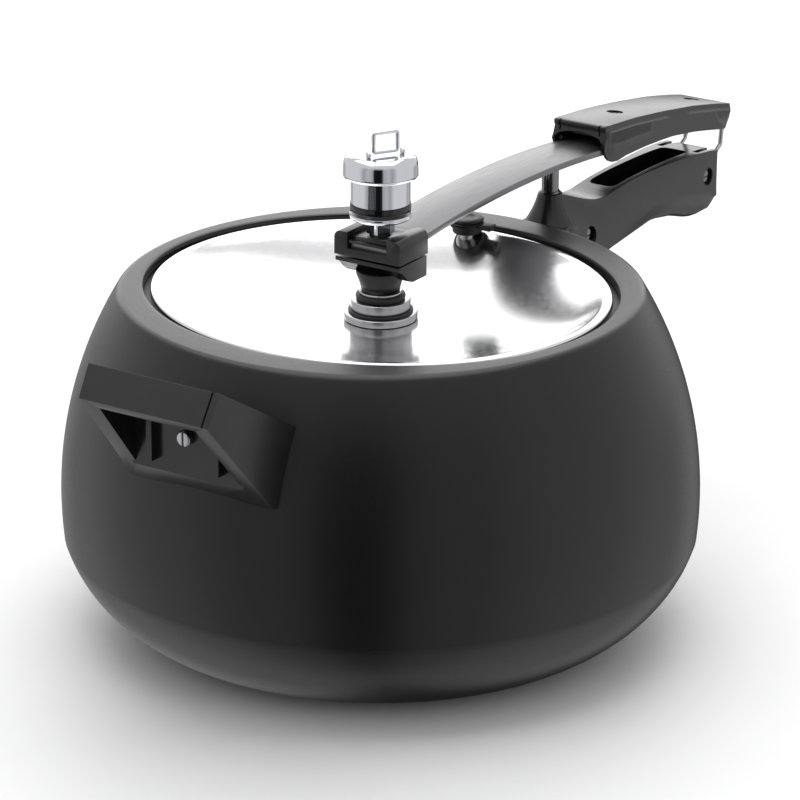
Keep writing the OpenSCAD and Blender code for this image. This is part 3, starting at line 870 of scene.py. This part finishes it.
# ---- slotted screws across the body handle, as crossScrews says
def buildCrossScrews():
    z = crossScrews["z"]
    for x, seat, node, name in crossScrews["screws"]:
        shank = rod(name, (x, -seat, z), (x, 12, z), 2)
        side = [(0, 0), (3.3, 0), (3.3, 0.5), (2.9, 1.1), (2.0, 1.5), (0, 1.7)]
        dome = turned("dome", [(r, seat + h) for r, h in side], 48)
        # tipped over towards +Y, then mirrored to the near side
        edit(dome, selected=True)
        bpy.ops.transform.rotate(value=math.radians(90), orient_axis="X", center_override=(0, 0, 0))
        bpy.ops.transform.translate(value=(x * mm, 0, z * mm))
        bpy.ops.transform.mirror(constraint_axis=(False, True, False), center_override=(0, 0, 0))
        done()
        seal(dome)
        combine(shank, dome, "UNION")
        combine(shank, box("slot", (x - 4, -14, z - 0.4), (x + 4, -seat - 1, z + 0.4)))
        smooth(shank, 40)
        dress(shank, postSteel, "pot", node)


buildCrossScrews()
print("post and screws done")


# ---- locking loop: round wire with flattened eyes on the pin
loop = {
    "wire": 1.0,
    "leg": 8.7,
    "bar": (255.3, 144.8),
    "knee": (251.8, 130.2),
    "neck": (247, 127.4),
    "start": (237.7, 123),         # where the wire leaves the eye
    "pin": (234.5, 121.2),
    "eye": (3.7, 2.05, 0.95),      # radius, bore and half thickness
    "bend": 2.0,
}


def buildLoop():
    legs = [loop["start"], loop["neck"], loop["knee"], loop["bar"]]
    near = [(x, -loop["leg"], z) for x, z in legs]
    far = [(x, loop["leg"], z) for x, z in reversed(legs)]
    bail = wire("lockingLoop", rounded(near + far, loop["bend"], closed=False), loop["wire"], closed=False)
    parts = [bail]
    x, z = loop["pin"]
    radius, bore, thick = loop["eye"]
    for side in (-1, 1):
        y = side * loop["leg"]
        eye = rod("eye", (x, y - thick, z), (x, y + thick, z), radius)
        combine(eye, rod("bore", (x, y - 3, z), (x, y + 3, z), bore))
        bevel(eye, 0.4, 3, 50)
        parts.append(eye)
    obj = joined("lockingLoop", parts)
    smooth(obj, 40)
    dress(obj, plainSteel, "locking_loop", "locking_loop")


buildLoop()
print("locking loop done")


# ---- helper handle: a faceted bar with a deep finger pocket
helper = {
    "side": [(-100, 116), (-147.4, 144.4), (-154.7, 133.2), (-119, 91), (-100, 91)],
    "plan": ((-156, 28.4), (-96, 34.2)),
    "pocketSide": [(-104, 110.6), (-143.5, 136.2), (-151.8, 129.9), (-160, 120), (-128, 99.5), (-104, 104)],
    "pocketPlan": ((-165, 20), (-100, 26.5)),
    "groove": (-26.2, 9, 0.45),    # place, half length and half width
    "bolt": 115.5,
    "boltHead": (3.1, 3),          # radius and height
    "web": (-127.6, -124),
    "ribs": 15,
}


def trimSides(obj, plan):
    # cuts both sides along a line seen from above, given by two of its points
    (x0, y0), (x1, y1) = plan
    for side in (-1, 1):
        normal = Vector((-(y1 - y0), (x1 - x0), 0)).normalized()
        trim(obj, (x0, side * y0, 100), (normal.x, side * normal.y, 0))


def buildHelper():
    grip = plank("helperHandle", helper["side"], 40)
    trimSides(grip, helper["plan"])
    pocket = plank("pocket", helper["pocketSide"], 40)
    trimSides(pocket, helper["pocketPlan"])
    combine(grip, pocket)
    flat(grip)
    bevel(grip, 1.0, 4, 20)
    # groove near one end of the bar's face
    ex, ez = helper["side"][1]
    fx, fz = helper["side"][2]
    down = Vector((fx - ex, 0, fz - ez)).normalized()
    outward = Vector((down.z, 0, -down.x))
    place, reach, wide = helper["groove"]
    mid = Vector(((ex + fx) / 2, place, (ez + fz) / 2))
    corners = []
    for a, b in ((-reach, -1), (reach, -1), (reach, 0.6), (-reach, 0.6)):
        corner = mid + down * a - outward * b
        corners.append((corner.x, corner.y - wide, corner.z))
    combine(grip, plate("groove", corners, (0, 2 * wide, 0)))
    front, back = helper["web"]
    combine(grip, box("web", (front, -25, 100), (back, 25, 124)), "UNION")
    for side in (-1, 1):
        y = side * helper["ribs"]
        combine(grip, box("rib", (-131, y - 1.2, 104), (-123, y + 1.2, 126)), "UNION")
    combine(grip, potSide())
    combine(grip, rod("bore", (-140, 0, helper["bolt"]), (-100, 0, helper["bolt"]), 2))
    combine(grip, box("recess", (-124, -14.2, 104.8), (-100, 14.2, 123.2)))
    smooth(grip)
    dress(grip, phenolic, "pot", "helper_handle")

    z = helper["bolt"]
    radius, height = helper["boltHead"]
    bolt = rod("helperScrew", (front, 0, z), (-115.5, 0, z), 2)
    head = rod("head", (front - height, 0, z), (front, 0, z), radius)
    bevel(head, 0.9, 4, 50)
    combine(bolt, head, "UNION")
    combine(bolt, box("slot", (-132, -0.5, z - 3), (-129.6, 0.5, z + 3)))
    smooth(bolt, 40)
    dress(bolt, plainSteel, "pot", "helper_screw")


buildHelper()
print("helper handle done")


# ---- weight: ring, band and barrel under a domed cap with a finger loop
weight = {
    "hollow": 7,
    "ring": [(11.2, 164.9), (11.7, 165.2), (12.0, 166.0), (12.1, 166.8), (11.9, 167.1)],
    "band": [(11.7, 167.1), (11.8, 167.3), (11.8, 170.9), (11.7, 171.1)],
    "barrel": [(11.3, 171.1), (11.5, 171.3), (11.5, 186)],
    "cap": [(12.4, 186), (12.6, 182.3), (12.9, 181.9), (14.35, 181.9), (14.5, 182.1), (14.5, 183.4),
            (14.42, 185.4), (14.3, 187.0), (14.0, 188.2), (13.4, 189.2), (12.5, 190.05), (11.6, 190.45),
            (10.9, 190.62), (9, 190.75), (5, 190.92), (0, 191), (0, 188), (2, 188), (2, 186), (12.4, 186)],
    "turn": -32,                   # direction of the finger loop
    "bailZ": 191.9,
    "bailHalf": 5.6,
    "bailTop": 200.7,
    "bailSide": -4.5,
    "bend": 1.6,
    "wire": 0.8,
    "foot": 1.2,
}


def buildWeight():
    hole = weight["hollow"]
    sleeves = [("weightRing", "ring", "weight_ring", chrome, "chrome", 50),
               ("weightBand", "band", "weight_band", band, "band", 30),
               ("weightBody", "barrel", "weight_body", chrome, "chrome", 30)]
    for name, key, node, mat, slotName, angle in sleeves:
        side = weight[key]
        foot, top = side[0][1], side[-1][1]
        sleeve = turned(name, [(hole, foot)] + side + [(hole, top), (hole, foot)])
        smooth(sleeve, angle)
        dress(sleeve, mat, "weight", node)
    cap = turned("weightCap", weight["cap"], 128)
    turn = math.radians(weight["turn"])
    half, low, high, r = weight["bailHalf"], weight["bailZ"], weight["bailTop"], weight["wire"]
    side = weight["bailSide"]

    def placed(y, z):  # from the loop's own frame to the weight
        return (y * math.cos(turn) - side * math.sin(turn), y * math.sin(turn) + side * math.cos(turn), z)

    for way in (-1, 1):  # the loop's two small feet
        start, end = (placed(way * (half + r + reach), low) for reach in (0.1, 1.3))
        foot = rod("foot", start, end, weight["foot"], 32)
        combine(cap, foot, "UNION")
        combine(cap, rod("hole", placed(way * (half - 1), low), placed(way * (half + 4), low), r + 0.05, 32))
    smooth(cap, 40)
    dress(cap, chrome, "weight", "weight_cap")
    path = [placed(*point) for point in [(-half, low), (-half, high), (half, high), (half, low)]]
    bail = wire("weightLoop", rounded(path, weight["bend"], closed=True), r, closed=True)
    smooth(bail, 50)
    dress(bail, chrome, "weight_loop", "weight_loop")


buildWeight()
print("weight done")


# ---- safety valve and tube nut
valve = {
    "at": (76.2, 9),
    "low": 138.6,
    # radius and height over the foot: skirt, two rolled ribs and a flat button
    "cap": [(0, 0), (5.06, 0), (5.06, -2.0), (5.7, -2.2), (6.0, -1.6), (6.0, 0), (6.7, 0.35), (6.85, 0.9),
            (6.7, 1.35), (6.3, 1.5), (6.3, 1.65), (6.75, 1.8), (6.85, 2.2), (6.6, 2.5), (6.1, 2.6),
            (6.1, 2.75), (6.6, 2.9), (6.8, 3.3), (6.5, 3.8), (5.6, 4.1), (3.4, 4.2), (2.8, 3.8), (0, 3.8)],
}
tubeNut = {
    "foot": 158.9,
    "top": 163.8,
    "corner": 5.5,
    "turn": 15,
}


def buildValve():
    z = valve["low"]
    cap = turned("valveCap", [(r, z + h) for r, h in valve["cap"]], 72, valve["at"])
    x, y = valve["at"]
    tab = box("tab", (x - 2, y - 12, z + 0.1), (x + 3, y - 4, z + 2.3))
    bevel(tab, 0.5, 3, 40)
    combine(cap, tab, "UNION")
    combine(cap, rod("bore", (x, y, 130), (x, y, z + 1.2), 3))
    smooth(cap, 40)
    dress(cap, rubber, "lid", "valve_cap")


def buildNut():
    foot, top = tubeNut["foot"], tubeNut["top"]
    nut = rod("tubeNut", (0, 0, foot), (0, 0, top), tubeNut["corner"], 6)
    edit(nut, selected=True)
    bpy.ops.transform.rotate(value=math.radians(tubeNut["turn"]), orient_axis="Z", center_override=(0, 0, 0))
    done()
    # a cone takes the corners off at the top
    cone = turned("cone", [(0, foot - 0.4), (5.6, foot - 0.4), (5.6, top - 0.9), (4.6, top), (0, top)], 64)
    combine(nut, cone, "INTERSECT")
    combine(nut, rod("bore", (0, 0, 150), (0, 0, 170), tubeBore))
    smooth(nut, 30)
    dress(nut, chrome, "lid", "tube_nut")


buildValve()
buildNut()
print("valve and nut done")


# ---- parts shown as they are in the frame
shown = [
    (plainSteel, ("wall_bracket", "handle_nuts", "helper_bracket", "under_nut", "valve_stem", "valve_nut",
                  "lid_handle_screws", "weight_core")),
    (alloy, ("bracket_rivets", "helper_rivets", "vent_tube", "tube_flange", "fusible_plug")),
    (discSteel, ("base_disc",)),
    (rubber, ("lid_gasket",)),
]
for mat, nodes in shown:
    for node in nodes:
        keep(node, mat)
print("kept parts done")


# ---- floor, lights and camera
studio = {
    "aim": (0, 0, 90),
    "eye": (-1326.84, -879.37, 686.82),
    "lens": 196.46,
    "shift": 0.0242,
    "sky": 0.85,
    "gapTurn": 26,                 # direction of the dark gap, from -X towards -Y
    "gap": [(0.5, 1.0), (0.72, 0.55), (0.86, 0.75), (0.955, 0.6), (0.98, 0.02)],
    # name, place, size, power and target, in metres
    "lamps": [("overhead", (0.3, 0.3, 1.9), (2.0, 2.0), 22, (0, 0, 0.08)),
              ("behind", (1.9, 1.25, 0.9), (2.6, 1.5), 15, (0, 0, 0.12))],
}


def buildFloor():
    deselectAll()
    bpy.ops.mesh.primitive_plane_add(size=12)
    floor = bpy.context.object
    floor.name = "floor"
    floor.data.materials.append(finish("paleFloor", (0.86, 0.86, 0.86), 0.01, (0.55, 0.65), 4, 0.0))
    floor.visible_glossy = False   # reflections see the even studio, not the floor's shadow


def softbox(name, place, size, power, target):
    deselectAll()
    bpy.ops.object.light_add(type="AREA", location=place)
    lamp = bpy.context.object
    lamp.name = name
    lamp.data.shape = "RECTANGLE"
    lamp.data.size, lamp.data.size_y = size
    lamp.data.energy = power
    lamp.rotation_euler = (Vector(target) - Vector(place)).to_track_quat("-Z", "Y").to_euler()


def buildWorld():
    # a white studio with a dark gap behind the camera; the gap closes overhead
    world = bpy.data.worlds.new("studioSky")
    bpy.context.scene.world = world
    world.use_nodes = True
    tree = world.node_tree
    make, link = tree.nodes.new, tree.links.new
    back = tree.nodes["Background"]
    place = make("ShaderNodeTexCoord")
    level, unit, dot = (make("ShaderNodeVectorMath") for _ in range(3))
    level.operation, unit.operation, dot.operation = "MULTIPLY", "NORMALIZE", "DOT_PRODUCT"
    level.inputs[1].default_value = (1, 1, 0)
    turn = math.radians(studio["gapTurn"])
    dot.inputs[1].default_value = (-math.cos(turn), -math.sin(turn), 0)
    link(place.outputs["Generated"], level.inputs[0])
    link(level.outputs["Vector"], unit.inputs[0])
    link(unit.outputs["Vector"], dot.inputs[0])
    # below the horizon the same dark gap stands on the far side too
    split, lower = make("ShaderNodeSeparateXYZ"), make("ShaderNodeMapRange")
    both, facing = make("ShaderNodeMath"), make("ShaderNodeMix")
    both.operation = "ABSOLUTE"
    lower.inputs["From Min"].default_value = -0.12
    lower.inputs["From Max"].default_value = 0.0
    link(place.outputs["Generated"], split.inputs[0])
    link(split.outputs["Z"], lower.inputs["Value"])
    link(dot.outputs["Value"], both.inputs[0])
    link(lower.outputs["Result"], facing.inputs["Factor"])
    link(both.outputs["Value"], facing.inputs["A"])
    link(dot.outputs["Value"], facing.inputs["B"])
    around = make("ShaderNodeValToRGB")
    stops = around.color_ramp.elements
    stops[0].position, stops[0].color = 0.0, (1, 1, 1, 1)
    stops[1].position, stops[1].color = 1.0, (0.01, 0.01, 0.012, 1)
    for position, tone in studio["gap"]:
        stop = stops.new(position)
        stop.color = (tone, tone, tone * 1.02, 1)
    link(facing.outputs["Result"], around.inputs["Fac"])
    above, mix = make("ShaderNodeMapRange"), make("ShaderNodeMix")
    above.inputs["From Min"].default_value = 0.35
    above.inputs["From Max"].default_value = 0.7
    link(split.outputs["Z"], above.inputs["Value"])
    mix.data_type = "RGBA"
    mix.inputs["B"].default_value = (1, 1, 1, 1)
    link(above.outputs["Result"], mix.inputs["Factor"])
    link(around.outputs["Color"], mix.inputs["A"])
    link(mix.outputs["Result"], back.inputs["Color"])
    back.inputs["Strength"].default_value = studio["sky"]


def buildCamera():
    eye = Vector(studio["eye"]) * mm
    aim = Vector(studio["aim"]) * mm
    deselectAll()
    bpy.ops.object.camera_add(location=eye)
    camera = bpy.context.object
    camera.rotation_euler = (aim - eye).to_track_quat("-Z", "Y").to_euler()
    camera.data.lens = studio["lens"]
    camera.data.sensor_width = 36
    camera.data.shift_x = studio["shift"]
    camera.data.clip_end = 50
    bpy.context.scene.camera = camera


buildFloor()
buildWorld()
for lamp in studio["lamps"]:
    softbox(*lamp)
bpy.context.scene.view_settings.view_transform = "Standard"
buildCamera()
print("studio done")
